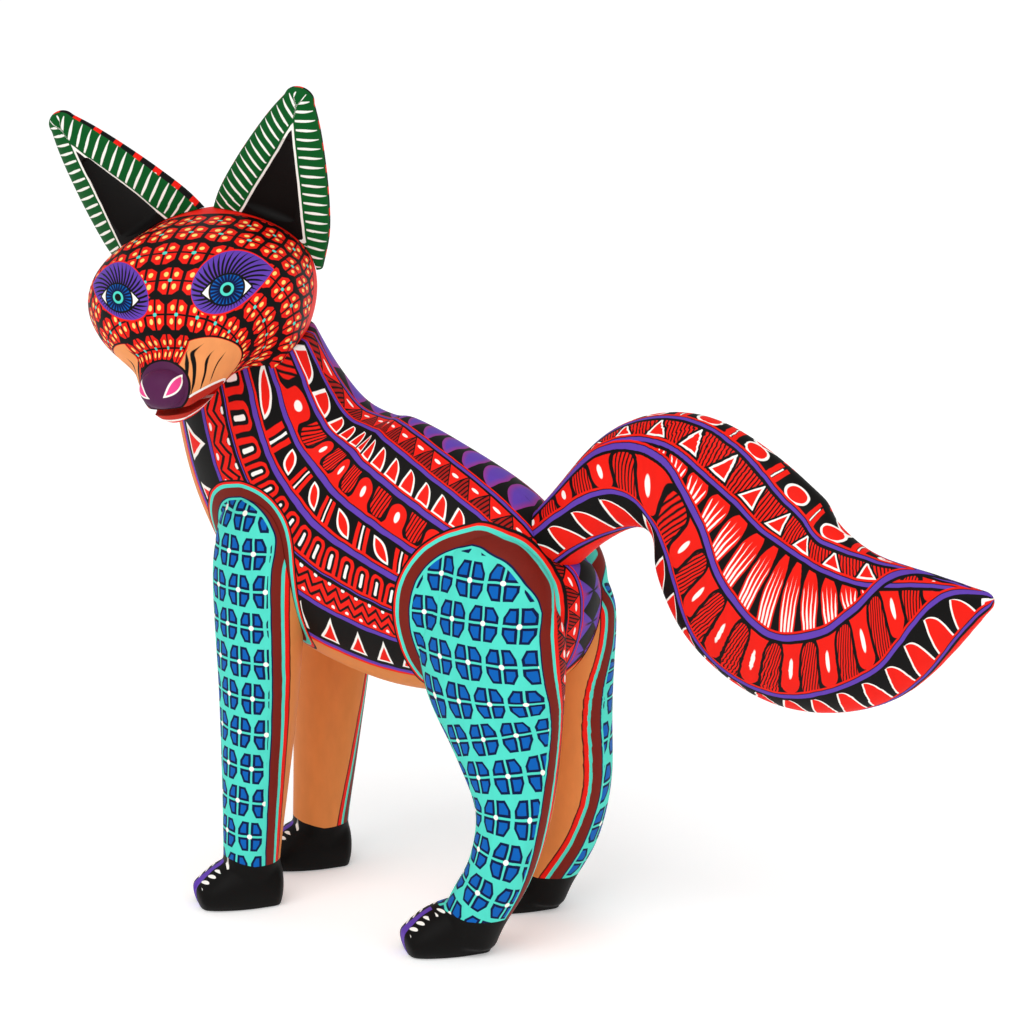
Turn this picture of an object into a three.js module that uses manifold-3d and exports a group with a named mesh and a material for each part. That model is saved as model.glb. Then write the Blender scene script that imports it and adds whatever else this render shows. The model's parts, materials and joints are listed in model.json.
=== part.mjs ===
// A carved and painted wooden fox that stands on four legs and looks over its left shoulder.
//
// Millimetres, +Z up. +X runs from the chest to the tail, and the fox's left side is at -Y.
// The trunk, head and legs are glued together over hidden dowels. The tail and the two ears
// are push-fit pieces: each has a peg glued into it, and pulls straight out of its socket.
//
// Every carved form is a loft through a few rings. A ring is
//   [x, y, z of its centre, half size across, half size the other way]
// and the surface runs smoothly through the rings, with a rounded cap at each end.

import * as THREE from "three";
import { LoftGeometry } from "three/addons/geometries/LoftGeometry.js";
import { mergeVertices } from "three/addons/utils/BufferGeometryUtils.js";
import Module from "manifold-3d";

const wasm = await Module();
wasm.setup();

// ---------------------------------------------------------------- driving dimensions

const glueGap = 0.3; // between two carved faces that meet
const pegPlay = 0.3; // radial, between a peg or dowel and its hole
const pegSides = 10;
const capRows = 3;
const turnShare = 0.07; // a form's direction is averaged this far, so that its rows don't cross
const xAxis = new THREE.Vector3(1, 0, 0);
const yAxis = new THREE.Vector3(0, 1, 0);

const trunk = {
  across: yAxis,
  sides: 26,
  rows: 20,
  startCap: 12,
  endCap: 4,
  rings: [
    [71, 0, 120, 21, 24],
    [59, 0, 123, 27, 32],
    [41, 0, 128, 31, 41],
    [11, 0, 134, 32.5, 47.5],
    [-19, 0, 144, 32, 47.5],
    [-39.5, -2, 164.5, 30, 39],
    [-48, -7.5, 188, 27, 32.5],
    [-51.5, -12, 208, 23, 28],
  ],
};

const frontLeg = {
  across: xAxis,
  sides: 14,
  rows: 12,
  startCap: 20,
  endCap: 2,
  rings: [
    [-37.5, -25.5, 139, 17, 12.3],
    [-38, -25.5, 129, 17.8, 13.3],
    [-38.5, -25, 113, 17.5, 13.5],
    [-39.5, -24.5, 83, 15.5, 12.5],
    [-42, -24, 48, 12.6, 11.5],
    [-44.5, -23.5, 18, 10.5, 10.5],
    [-45, -23.5, 4, 10.5, 10.5],
  ],
  foot: [-46, -23.5],
  dowels: {
    upper: [-34, 22, 134], // on the right; y is the middle of the dowel
    lower: [-34, 22, 118],
  },
};

const hindLeg = {
  across: xAxis,
  sides: 16,
  rows: 16,
  startCap: 23,
  endCap: 2,
  rings: [
    [53.5, -18.5, 131, 26, 14.5],
    [53.5, -18.2, 119, 29.5, 16.3],
    [56, -18, 98.5, 27.3, 16.5],
    [61.5, -19, 76.5, 20.5, 14.5],
    [65.5, -22, 54, 14, 12.5],
    [61.5, -24.5, 33, 11.8, 11],
    [52.5, -25, 16, 11.3, 10.5],
    [48.5, -25, 6, 10.8, 10.5],
  ],
  foot: [44, -25],
  dowels: {
    upper: [50, 21, 132],
    lower: [50, 21, 112],
  },
};

const legDowel = { radius: 2.5, length: 20 };

// The paw lies along its own forward line: [distance forward, height, half width].
const paw = {
  turn: 45, // degrees from straight ahead towards the fox's left
  sides: 12,
  rows: 7,
  rings: [
    [-9, 17.5, 10.5],
    [0, 18.5, 12],
    [8, 16, 12],
    [14, 12, 11],
    [18, 9, 9],
  ],
  cleft: { width: 1.6, length: 7 },
};

// The head has its own frame: +Z up through the crown, and the nose at -Y.
const head = {
  at: [-58.5, -24, 224.5],
  yaw: 10,
  pitch: 12,
  roll: 9,
  egg: 0.18, // how much wider the upper half is than the lower half
  across: xAxis,
  sides: 26,
  rows: 18,
  startCap: 9,
  endCap: 4,
  rings: [
    [0, 33, -3, 26, 26],
    [0, 18, -3, 35, 31.5],
    [0, 2, -3, 38.3, 33],
    [0, -13, 0, 39, 31],
    [0, -25, -3.5, 30.5, 26],
    [0, -34, -11, 17.5, 16.5],
    [0, -42, -14, 12.5, 13],
    [0, -48, -15, 9.5, 10],
  ],
  nose: { at: [0, -50, -10.5], size: [8.5, 7, 7] },
  mouth: { at: [0, -38, -20], size: [24, 20, 1.8], tilt: -4 },
};

const neckDowel = { radius: 5, length: 28 };

const ear = {
  across: xAxis,
  sides: 14,
  rows: 9,
  startCap: 2,
  endCap: 4.5,
  root: [21.5, 20, 18.5], // in the head's frame, for the left ear
  splay: 27.5, // degrees outwards from the head's own up
  lean: 4, // degrees forward of the head's own up
  rings: [
    [0, 0, -9, 22, 6.5],
    [0, 0, 6, 21.5, 6.5],
    [0, 0, 21, 18, 5.5],
    [0, 0, 35, 13.5, 5],
    [0, 0, 46, 9.3, 4.2],
    [0, 0, 54, 5.5, 3.2],
  ],
  hollow: {
    rings: [
      [0, -8, 10, 11, 4.5],
      [0, -7.4, 19, 10, 4.5],
      [0, -6.6, 30, 6, 3.6],
      [0, -5.6, 38, 2.5, 2.4],
    ],
  },
  peg: { radius: 2, into: 9, out: 13 },
};

const tail = {
  across: yAxis,
  sides: 20,
  rows: 27,
  startCap: 2,
  endCap: 3,
  rings: [
    [65, 0, 144, 10.5, 12],
    [80.5, 0, 160.5, 11, 13],
    [98.5, 0, 175.5, 12.5, 18],
    [118.5, -1, 178, 13.5, 25.5],
    [135, -3, 167.5, 13.8, 33],
    [151, -5, 151, 14, 38.5],
    [171.5, -8, 140.5, 13.5, 36.5],
    [198, -11, 140.5, 12, 27.5],
    [221.5, -14, 149.5, 8, 15.5],
    [241, -16, 157.5, 3, 3.5],
  ],
  peg: { radius: 4, into: 20, out: 20 },
};

const colours = {
  bareWood: 0xcd9a5e,
  redPaint: 0xd8301a,
  turquoisePaint: 0x45c9ae,
  greenPaint: 0x17683a,
};

// ---------------------------------------------------------------- solids

function solidFrom(geometry) {
  const bare = new THREE.BufferGeometry();
  bare.setAttribute("position", geometry.getAttribute("position"));
  bare.setIndex(geometry.index);
  const merged = mergeVertices(bare, 1e-4);
  const corners = merged.index.array;
  const kept = [];
  for (let i = 0; i < corners.length; i += 3) {
    const [a, b, c] = corners.slice(i, i + 3);
    if (a !== b && b !== c && c !== a) kept.push(a, b, c);
  }
  return new wasm.Manifold(
    new wasm.Mesh({
      numProp: 3,
      vertProperties: Float32Array.from(merged.attributes.position.array),
      triVerts: Uint32Array.from(kept),
    }),
  );
}

function meshFrom(name, solid, color, roughness) {
  const { numProp, numVert, vertProperties, triVerts } = solid.getMesh();
  const places = new Float32Array(numVert * 3);
  for (let i = 0; i < numVert; i++) {
    places.set(vertProperties.subarray(i * numProp, i * numProp + 3), i * 3);
  }
  const geometry = new THREE.BufferGeometry();
  geometry.setAttribute("position", new THREE.BufferAttribute(places, 3));
  geometry.setIndex(new THREE.BufferAttribute(Uint32Array.from(triVerts), 1));
  geometry.computeVertexNormals();
  const mesh = new THREE.Mesh(geometry, new THREE.MeshStandardMaterial({ color, roughness }));
  mesh.name = name;
  return mesh;
}

// A smooth value through evenly spaced knots, at share 0 to 1 of the way along.
function smoothThrough(knots, share) {
  const place = share * (knots.length - 1);
  const i = Math.min(Math.floor(place), knots.length - 2);
  const f = place - i;
  const before = knots[Math.max(i - 1, 0)];
  const after = knots[Math.min(i + 2, knots.length - 1)];
  const [from, to] = [knots[i], knots[i + 1]];
  const slopeFrom = (to - before) / 2;
  const slopeTo = (after - from) / 2;
  return (
    (2 * f ** 3 - 3 * f ** 2 + 1) * from +
    (f ** 3 - 2 * f ** 2 + f) * slopeFrom +
    (3 * f ** 2 - 2 * f ** 3) * to +
    (f ** 3 - f ** 2) * slopeTo
  );
}

function ringAt(rings, share) {
  return [0, 1, 2, 3, 4].map((k) => smoothThrough(rings.map((ring) => ring[k]), share));
}

function directionAt(rings, share) {
  const [x0, y0, z0] = ringAt(rings, Math.max(share - turnShare, 0));
  const [x1, y1, z1] = ringAt(rings, Math.min(share + turnShare, 1));
  return new THREE.Vector3(x1 - x0, y1 - y0, z1 - z0).normalize();
}

// The shares and sizes of the rows: a round cap, the even rows between, and a round cap.
function rowPlan(rows) {
  const turns = Array.from({ length: capRows }, (_, i) => ((i + 0.35) / capRows) * (Math.PI / 2));
  const start = turns.map((t) => ({ share: 0, past: -Math.cos(t), size: Math.sin(t) }));
  const middle = Array.from({ length: rows + 1 }, (_, i) => ({ share: i / rows, past: 0, size: 1 }));
  const end = turns.reverse().map((t) => ({ share: 1, past: Math.cos(t), size: Math.sin(t) }));
  return [...start, ...middle, ...end];
}

// A carved form as a solid. grow swells it, for cutting a neighbour that seats on it.
function carve(form, grow = 0) {
  const sections = rowPlan(form.rows).map(({ share, past, size }) => {
    const [x, y, z, halfAcross, halfOther] = ringAt(form.rings, share);
    const along = directionAt(form.rings, share);
    const side = form.across.clone().addScaledVector(along, -form.across.dot(along)).normalize();
    const up = new THREE.Vector3().crossVectors(along, side);
    const cap = past < 0 ? form.startCap : form.endCap;
    const centre = new THREE.Vector3(x, y, z).addScaledVector(along, past * (cap + grow));
    return Array.from({ length: form.sides }, (_, j) => {
      const turn = (j / form.sides) * Math.PI * 2;
      const width = (halfAcross + grow) * (1 + (form.egg ?? 0) * Math.sin(turn));
      return centre
        .clone()
        .addScaledVector(side, Math.cos(turn) * width * size)
        .addScaledVector(up, Math.sin(turn) * (halfOther + grow) * size);
    });
  });
  return solidFrom(new LoftGeometry(sections, { capStart: true, capEnd: true }));
}

// A straight round bar with its middle at centre, running along a unit direction.
function bar(centre, along, length, radius) {
  const geometry = new THREE.CylinderGeometry(radius, radius, length, pegSides);
  geometry.applyQuaternion(new THREE.Quaternion().setFromUnitVectors(yAxis, along));
  geometry.translate(...centre.toArray());
  return solidFrom(geometry);
}

function block(size, at) {
  const geometry = new THREE.BoxGeometry(...size);
  geometry.translate(...at);
  return solidFrom(geometry);
}

function ball(size, at, sides) {
  const geometry = new THREE.SphereGeometry(1, sides, sides / 2);
  geometry.scale(...size);
  geometry.translate(...at);
  return solidFrom(geometry);
}

function placed(solid, matrix) {
  return solid.transform(matrix.toArray());
}

// ---------------------------------------------------------------- pegs, dowels and their holes

// A peg and the hole that it needs, which is wider and longer by the play.
function pegAndHole(centre, along, length, radius) {
  return {
    peg: bar(centre, along, length, radius),
    hole: bar(centre, along, length + 2 * pegPlay, radius + pegPlay),
  };
}

function legDowels(plan, side) {
  return Object.entries(plan.dowels).map(([level, [x, y, z]]) => ({
    level,
    ...pegAndHole(new THREE.Vector3(x, side * y, z), yAxis, legDowel.length, legDowel.radius),
  }));
}

// A push-fit peg starts at the root of its piece and points out of the socket.
function pushPeg(root, along, { radius, into, out }) {
  const middle = root.clone().addScaledVector(along, (out - into) / 2);
  return pegAndHole(middle, along, into + out, radius);
}

const degrees = THREE.MathUtils.degToRad;

const headPlace = new THREE.Matrix4()
  .makeRotationFromEuler(
    new THREE.Euler(degrees(head.pitch), degrees(-head.roll), degrees(head.yaw), "ZYX"),
  )
  .setPosition(...head.at);

const neckEnd = new THREE.Vector3(...trunk.rings.at(-1));
const neck = pegAndHole(neckEnd, directionAt(trunk.rings, 1), neckDowel.length, neckDowel.radius);

const tailSeatShare = 0.5 / (tail.rings.length - 1);
const tailSeat = new THREE.Vector3(...ringAt(tail.rings, tailSeatShare));
const tailLine = directionAt(tail.rings, tailSeatShare);
const tailPeg = pushPeg(tailSeat, tailLine, tail.peg);

// side is -1 for the fox's left and 1 for its right. The left ear is at +X in the head's frame.
function earPlace(side) {
  const [x, y, z] = ear.root;
  const local = new THREE.Matrix4()
    .makeRotationX(degrees(ear.lean))
    .multiply(new THREE.Matrix4().makeRotationY(degrees(ear.splay) * -side))
    .setPosition(-side * x, y, z);
  return headPlace.clone().multiply(local);
}

function earPeg(side) {
  const place = earPlace(side);
  const root = new THREE.Vector3(0, 0, 5).applyMatrix4(place);
  const along = new THREE.Vector3(0, 0, 1).transformDirection(place);
  return pushPeg(root, along, ear.peg);
}

// ---------------------------------------------------------------- carved pieces

const sides = { left: -1, right: 1 };
const legs = { front: frontLeg, hind: hindLeg };
const trunkSeat = carve(trunk, glueGap);
const earPegs = { left: earPeg(sides.left), right: earPeg(sides.right) };

function trunkSolid(legHoles) {
  return wasm.Manifold.difference([carve(trunk), neck.hole, tailPeg.hole, ...legHoles]);
}

function mouthCut() {
  const { at, size, tilt } = head.mouth;
  const turned = new THREE.Matrix4().makeRotationX(degrees(tilt)).setPosition(...at);
  return placed(ball(size, [0, 0, 0], 20), turned);
}

function headForm(grow) {
  const swell = head.nose.size.map((half) => half + grow);
  return placed(carve(head, grow).add(ball(swell, head.nose.at, 14)), headPlace);
}

function headSolid() {
  const cuts = [placed(mouthCut(), headPlace), trunkSeat, neck.hole];
  const sockets = Object.values(earPegs).map(({ hole }) => hole);
  return wasm.Manifold.difference([headForm(0), ...cuts, ...sockets]);
}

function pawForm([x, y]) {
  const form = {
    across: xAxis,
    sides: paw.sides,
    rows: paw.rows,
    startCap: 3.5,
    endCap: 2,
    rings: paw.rings.map(([d, height, half]) => [0, -d, height * 0.36, half, height * 0.64]),
  };
  const { width, length } = paw.cleft;
  const toe = -(paw.rings.at(-1)[0] + form.endCap);
  const slot = block([width, length, 60], [0, toe + length / 2 - 1, 0]);
  const turned = new THREE.Matrix4().makeRotationZ(degrees(paw.turn - 90)).setPosition(x, y, 0);
  return placed(carve(form).subtract(slot), turned);
}

function mirrored(form) {
  return { ...form, rings: form.rings.map(([x, y, ...rest]) => [x, -y, ...rest]) };
}

function legSolid(plan, side, holes) {
  const form = side < 0 ? plan : mirrored(plan);
  const foot = [plan.foot[0], -side * plan.foot[1]];
  const below = block([600, 600, 100], [0, 0, -50]);
  const whole = carve(form).add(pawForm(foot));
  return wasm.Manifold.difference([whole, below, trunkSeat, ...holes]);
}

function earSolid(side) {
  const hollow = { ...ear, startCap: 3, endCap: 2, rows: 8, rings: ear.hollow.rings };
  const shell = placed(carve(ear).subtract(carve(hollow)), earPlace(side));
  const hole = side < 0 ? earPegs.left.hole : earPegs.right.hole;
  return wasm.Manifold.difference([shell, headForm(glueGap), hole]);
}

// ---------------------------------------------------------------- the figure

const figure = new THREE.Group();
const allLegHoles = [];

for (const [end, plan] of Object.entries(legs)) {
  for (const [sideName, side] of Object.entries(sides)) {
    const name = `leg_${end}_${sideName}`;
    const dowels = legDowels(plan, side);
    const holes = dowels.map(({ hole }) => hole);
    allLegHoles.push(...holes);
    figure.add(meshFrom(name, legSolid(plan, side, holes), colours.turquoisePaint, 0.45));
    for (const { level, peg } of dowels) {
      figure.add(meshFrom(`${name}_dowel_${level}`, peg, colours.bareWood, 0.7));
    }
  }
}

figure.add(meshFrom("trunk", trunkSolid(allLegHoles), colours.redPaint, 0.45));
figure.add(meshFrom("head", headSolid(), colours.redPaint, 0.45));
figure.add(meshFrom("neck_dowel", neck.peg, colours.bareWood, 0.7));
figure.add(meshFrom("tail", carve(tail).subtract(trunkSeat).subtract(tailPeg.hole), colours.redPaint, 0.45));
figure.add(meshFrom("tail_peg", tailPeg.peg, colours.bareWood, 0.7));
for (const [sideName, side] of Object.entries(sides)) {
  figure.add(meshFrom(`ear_${sideName}`, earSolid(side), colours.greenPaint, 0.45));
  figure.add(meshFrom(`ear_${sideName}_peg`, earPegs[sideName].peg, colours.bareWood, 0.7));
}

// The origin is the middle of the figure's box, at the floor.
const middle = new THREE.Box3().setFromObject(figure).getCenter(new THREE.Vector3());
figure.position.set(-middle.x, -middle.y, 0);

export default figure;
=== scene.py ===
import json
import math

import bmesh
import bpy
import numpy as np
from mathutils import Matrix, Vector

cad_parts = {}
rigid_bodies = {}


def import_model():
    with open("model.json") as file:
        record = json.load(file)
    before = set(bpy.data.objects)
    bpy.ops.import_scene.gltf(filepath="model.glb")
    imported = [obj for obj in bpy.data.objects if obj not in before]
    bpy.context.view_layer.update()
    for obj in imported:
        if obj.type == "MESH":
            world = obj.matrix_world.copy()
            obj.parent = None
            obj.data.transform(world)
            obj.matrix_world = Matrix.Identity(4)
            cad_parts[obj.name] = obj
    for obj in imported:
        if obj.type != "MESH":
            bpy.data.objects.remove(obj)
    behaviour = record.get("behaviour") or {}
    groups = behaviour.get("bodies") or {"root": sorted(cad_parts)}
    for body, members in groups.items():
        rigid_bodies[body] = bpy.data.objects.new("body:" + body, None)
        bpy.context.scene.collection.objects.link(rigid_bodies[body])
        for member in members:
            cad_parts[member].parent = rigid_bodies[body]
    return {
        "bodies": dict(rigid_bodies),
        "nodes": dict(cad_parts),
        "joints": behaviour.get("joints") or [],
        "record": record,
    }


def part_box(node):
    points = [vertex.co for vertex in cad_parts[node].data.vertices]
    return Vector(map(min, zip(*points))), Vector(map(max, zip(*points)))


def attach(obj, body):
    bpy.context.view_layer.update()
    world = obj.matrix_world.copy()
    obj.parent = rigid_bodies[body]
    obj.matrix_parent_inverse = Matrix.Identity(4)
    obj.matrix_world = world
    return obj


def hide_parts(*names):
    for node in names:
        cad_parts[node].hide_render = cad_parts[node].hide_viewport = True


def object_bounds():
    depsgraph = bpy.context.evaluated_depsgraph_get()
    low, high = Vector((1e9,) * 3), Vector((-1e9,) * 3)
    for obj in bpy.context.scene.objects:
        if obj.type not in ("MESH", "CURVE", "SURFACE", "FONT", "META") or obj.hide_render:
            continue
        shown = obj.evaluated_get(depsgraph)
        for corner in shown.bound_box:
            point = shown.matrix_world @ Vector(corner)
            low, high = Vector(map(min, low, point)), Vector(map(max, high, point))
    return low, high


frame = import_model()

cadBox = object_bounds()

# Forms are carved in millimetres and settled into the frame, in metres, when they are done.
# A ring is its centre x, y, z, its half size across and its half size the other way.

xAxis = Vector((1, 0, 0))
yAxis = Vector((0, 1, 0))
seatGap = 0.3  # between two carved faces that meet
pegPlay = 0.3  # round a peg in its hole

trunkForm = {
    "across": yAxis, "sides": 64, "rows": 46, "capRows": 9, "startCap": 12, "endCap": 4,
    "rings": [
        (71, 0, 120, 21, 24), (59, 0, 123, 27, 32), (41, 0, 128, 31, 41), (11, 0, 134, 32.5, 47.5),
        (-19, 0, 144, 32, 47.5), (-39.5, -2, 164.5, 30, 39), (-48, -7.5, 188, 27, 32.5),
        (-51.5, -12, 208, 23, 28),
    ],
}
frontLegForm = {
    "across": xAxis, "sides": 40, "rows": 36, "capRows": 8, "startCap": 20, "endCap": 2,
    "rings": [
        (-37.5, -25.5, 139, 17, 12.3), (-38, -25.5, 129, 17.8, 13.3), (-38.5, -25, 113, 17.5, 13.5),
        (-39.5, -24.5, 83, 15.5, 12.5), (-42, -24, 48, 12.6, 11.5), (-44.5, -23.5, 18, 10.5, 10.5),
        (-45, -23.5, 4, 10.5, 10.5),
    ],
    "foot": (-46, -23.5),
}
hindLegForm = {
    "across": xAxis, "sides": 40, "rows": 42, "capRows": 8, "startCap": 23, "endCap": 2,
    "rings": [
        (53.5, -18.5, 131, 26, 14.5), (53.5, -18.2, 119, 29.5, 16.3), (56, -18, 98.5, 27.3, 16.5),
        (61.5, -19, 76.5, 20.5, 14.5), (65.5, -22, 54, 14, 12.5), (61.5, -24.5, 33, 11.8, 11),
        (52.5, -25, 16, 11.3, 10.5), (48.5, -25, 6, 10.8, 10.5),
    ],
    "foot": (44, -25),
}
paw = {
    "turn": 45, "sides": 32, "rows": 18, "capRows": 6, "startCap": 3.5, "endCap": 2,
    "profile": [(-9, 17.5, 10.5), (0, 18.5, 12), (8, 16, 12), (14, 12, 11), (18, 9, 9)],
    "cleft": {"width": 1.6, "length": 7},
}
headForm = {
    "across": xAxis, "sides": 64, "rows": 44, "capRows": 9, "startCap": 9, "endCap": 4, "egg": 0.18,
    "rings": [
        (0, 33, -3, 26, 26), (0, 18, -3, 35, 31.5), (0, 2, -3, 38.3, 33), (0, -13, 0, 39, 31),
        (0, -25, -3.5, 30.5, 26), (0, -34, -11, 17.5, 16.5), (0, -42, -14, 12.5, 13),
        (0, -48, -15, 9.5, 10),
    ],
    "at": (-58.5, -24, 224.5), "yaw": 10, "pitch": 12, "roll": 9,
    "nose": {"at": (0, -50, -10.5), "size": (8.5, 7, 7)},
    "mouth": {"at": (0, -38, -20), "size": (24, 20, 1.8), "tilt": -4},
}
neckDowel = {"radius": 5, "length": 28}
earForm = {
    "across": xAxis, "sides": 48, "rows": 30, "capRows": 7, "startCap": 2, "endCap": 4.5,
    "rings": [
        (0, 0, -9, 22, 6.5), (0, 0, 6, 21.5, 6.5), (0, 0, 21, 18, 5.5), (0, 0, 35, 13.5, 5),
        (0, 0, 46, 9.3, 4.2), (0, 0, 54, 5.5, 3.2),
    ],
    "root": (21.5, 20, 18.5), "splay": 27.5, "lean": 4,
    "peg": {"radius": 2, "into": 9, "out": 13},
}
earHollowForm = {
    "across": xAxis, "sides": 32, "rows": 20, "capRows": 6, "startCap": 3, "endCap": 2,
    "rings": [(0, -8, 10, 11, 4.5), (0, -7.4, 19, 10, 4.5), (0, -6.6, 30, 6, 3.6), (0, -5.6, 38, 2.5, 2.4)],
}
tailForm = {
    "across": yAxis, "sides": 28, "rows": 27, "capRows": 3, "startCap": 2, "endCap": 3,
    "rings": [
        (65, 0, 144, 10.5, 12), (80.5, 0, 160.5, 11, 13), (98.5, 0, 175.5, 12.5, 18),
        (118.5, -1, 178, 13.5, 25.5), (135, -3, 167.5, 13.8, 33), (151, -5, 151, 14, 38.5),
        (171.5, -8, 140.5, 13.5, 36.5), (198, -11, 140.5, 12, 27.5), (221.5, -14, 149.5, 8, 15.5),
        (241, -16, 157.5, 3, 3.5),
    ],
    "peg": {"radius": 4, "into": 20, "out": 20},
}
turnShare = 0.07  # a form's direction is averaged this far along it

# Where the carving stands in the frame, from the middle of the neck dowel.
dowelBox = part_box("neck_dowel")
neckEnd = Vector(trunkForm["rings"][-1][:3])
intoFrame = Matrix.Translation((dowelBox[0] + dowelBox[1]) / 2 - neckEnd / 1000) @ Matrix.Scale(0.001, 4)


# Carving: a disc is extruded ring by ring along the form, and subdivided.

def smoothThrough(knots, share):
    place = share * (len(knots) - 1)
    i = min(int(place), len(knots) - 2)
    f = place - i
    before, start = knots[max(i - 1, 0)], knots[i]
    end, after = knots[i + 1], knots[min(i + 2, len(knots) - 1)]
    return (
        (2 * f**3 - 3 * f**2 + 1) * start + (f**3 - 2 * f**2 + f) * (end - before) / 2
        + (3 * f**2 - 2 * f**3) * end + (f**3 - f**2) * (after - start) / 2
    )


def ringAt(form, share):
    return smoothThrough(np.array(form["rings"], float), share)


def directionAt(form, share):
    start = ringAt(form, max(share - turnShare, 0))
    end = ringAt(form, min(share + turnShare, 1))
    return Vector(end[:3] - start[:3]).normalized()


# Carries the unit circle to the ring at this share, past either end of the form for a cap.
def ringMatrix(form, share, past=0, size=1, grow=0):
    x, y, z, halfAcross, halfOther = ringAt(form, share)
    along = directionAt(form, share)
    side = (form["across"] - along * form["across"].dot(along)).normalized()
    up = along.cross(side)
    cap = form["startCap"] if past < 0 else form["endCap"]
    centre = Vector((x, y, z)) + along * past * (cap + grow)
    columns = [side * (halfAcross + grow) * size, up * (halfOther + grow) * size, along, centre]
    matrix = Matrix.Identity(4)
    for i, column in enumerate(columns):
        for j in range(3):
            matrix[j][i] = column[j]
    return matrix


def rowPlan(form):
    turns = [(i + 0.35) / form["capRows"] * math.pi / 2 for i in range(form["capRows"])]
    start = [(0, -math.cos(turn), math.sin(turn)) for turn in turns]
    middle = [(i / form["rows"], 0, 1) for i in range(form["rows"] + 1)]
    end = [(1, math.cos(turn), math.sin(turn)) for turn in reversed(turns)]
    return start + middle + end


def activate(piece):
    bpy.ops.object.select_all(action="DESELECT")
    piece.select_set(True)
    bpy.context.view_layer.objects.active = piece


def applyModifier(piece, kind, **settings):
    modifier = piece.modifiers.new(kind, kind)
    for name, value in settings.items():
        setattr(modifier, name, value)
    activate(piece)
    bpy.ops.object.modifier_apply(modifier=modifier.name)


def carve(name, form, place=Matrix.Identity(4), grow=0, subdivide=1):
    bpy.ops.object.select_all(action="DESELECT")
    bpy.ops.mesh.primitive_circle_add(vertices=form["sides"], radius=1, fill_type="NGON")
    piece = bpy.context.object
    piece.name = name
    bpy.ops.object.mode_set(mode="EDIT")
    cage = bmesh.from_edit_mesh(piece.data)
    for corner in cage.verts:
        corner.co.x *= 1 + form.get("egg", 0) * corner.co.y
    last = Matrix.Identity(4)
    for i, (share, past, size) in enumerate(rowPlan(form)):
        if i > 0:
            bpy.ops.mesh.extrude_region_move()
        ring = place @ ringMatrix(form, share, past, size, grow)
        cage = bmesh.from_edit_mesh(piece.data)
        picked = [corner for corner in cage.verts if corner.select]
        bmesh.ops.transform(cage, matrix=ring @ last.inverted(), verts=picked)
        last = ring
    bpy.ops.mesh.select_all(action="SELECT")
    bpy.ops.mesh.normals_make_consistent(inside=False)
    bpy.ops.object.mode_set(mode="OBJECT")
    if subdivide:
        applyModifier(piece, "SUBSURF", levels=subdivide, render_levels=subdivide)
    return piece


def bar(name, centre, along, length, radius, round=0):
    bpy.ops.object.select_all(action="DESELECT")
    turn = along.to_track_quat("Z", "Y").to_euler()
    bpy.ops.mesh.primitive_cylinder_add(
        vertices=48, radius=radius, depth=length, location=centre, rotation=turn)
    piece = bpy.context.object
    piece.name = name
    bpy.ops.object.transform_apply(location=True, rotation=True, scale=True)
    if round:
        applyModifier(piece, "BEVEL", width=round, segments=4, limit_method="ANGLE", angle_limit=1)
    return piece


def pegHole(centre, along, length, radius):
    return bar("hole", centre, along, length + 2 * pegPlay, radius + pegPlay)


def ball(name, at, size, place, tilt=0):
    bpy.ops.object.select_all(action="DESELECT")
    bpy.ops.mesh.primitive_uv_sphere_add(segments=64, ring_count=40, radius=1)
    piece = bpy.context.object
    piece.name = name
    turn = Matrix.Rotation(math.radians(tilt), 4, "X")
    piece.data.transform(place @ Matrix.Translation(at) @ turn @ Matrix.Diagonal((*size, 1)))
    return piece


def combine(piece, others, operation="DIFFERENCE"):
    for other in others:
        applyModifier(piece, "BOOLEAN", operation=operation, solver="EXACT", object=other)


def discard(*pieces):
    for piece in pieces:
        bpy.data.objects.remove(piece)


# The knife and the sandpaper leave one rounded surface.
softening = {"legGrain": 0.9, "legPasses": 9, "tailGrain": 1.1, "tailPasses": 16}


def soften(piece, grain, passes):
    applyModifier(piece, "REMESH", mode="VOXEL", voxel_size=grain)
    applyModifier(piece, "SMOOTH", factor=0.5, iterations=passes)


# The form on this side of the body, from the one for the left.
def onSide(form, side):
    rings = [(x, -side * y, z, halfAcross, halfOther) for x, y, z, halfAcross, halfOther in form["rings"]]
    return {**form, "rings": rings, "foot": (form["foot"][0], -side * form["foot"][1])}


headPlace = Matrix.Translation(headForm["at"]) @ (
    Matrix.Rotation(math.radians(headForm["yaw"]), 4, "Z")
    @ Matrix.Rotation(math.radians(-headForm["roll"]), 4, "Y")
    @ Matrix.Rotation(math.radians(headForm["pitch"]), 4, "X")
)


# side is -1 for the fox's left and 1 for its right.
def earPlace(side):
    x, y, z = earForm["root"]
    return (
        headPlace @ Matrix.Translation((-side * x, y, z))
        @ Matrix.Rotation(math.radians(earForm["lean"]), 4, "X")
        @ Matrix.Rotation(math.radians(-side * earForm["splay"]), 4, "Y")
    )


def pushPeg(name, root, along, peg):
    middle = root + along * (peg["out"] - peg["into"]) / 2
    length = peg["into"] + peg["out"]
    piece = bar(name, middle, along, length, peg["radius"] - 0.02, round=0.7)
    return piece, pegHole(middle, along, length, peg["radius"])


print("carving the trunk")
sides = {"left": -1, "right": 1}
legForms = {"front": frontLegForm, "hind": hindLegForm}
trunk = carve("trunk_carving", trunkForm)
trunkSeat = carve("trunk_seat", trunkForm, grow=seatGap)
neckHole = pegHole(neckEnd, directionAt(trunkForm, 1), neckDowel["length"], neckDowel["radius"])
tailSeatShare = 0.5 / (len(tailForm["rings"]) - 1)
tailSeat = Vector(ringAt(tailForm, tailSeatShare)[:3])
tailPeg, tailHole = pushPeg("tail_dowel", tailSeat, directionAt(tailForm, tailSeatShare), tailForm["peg"])
combine(trunk, [neckHole, tailHole])

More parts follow.
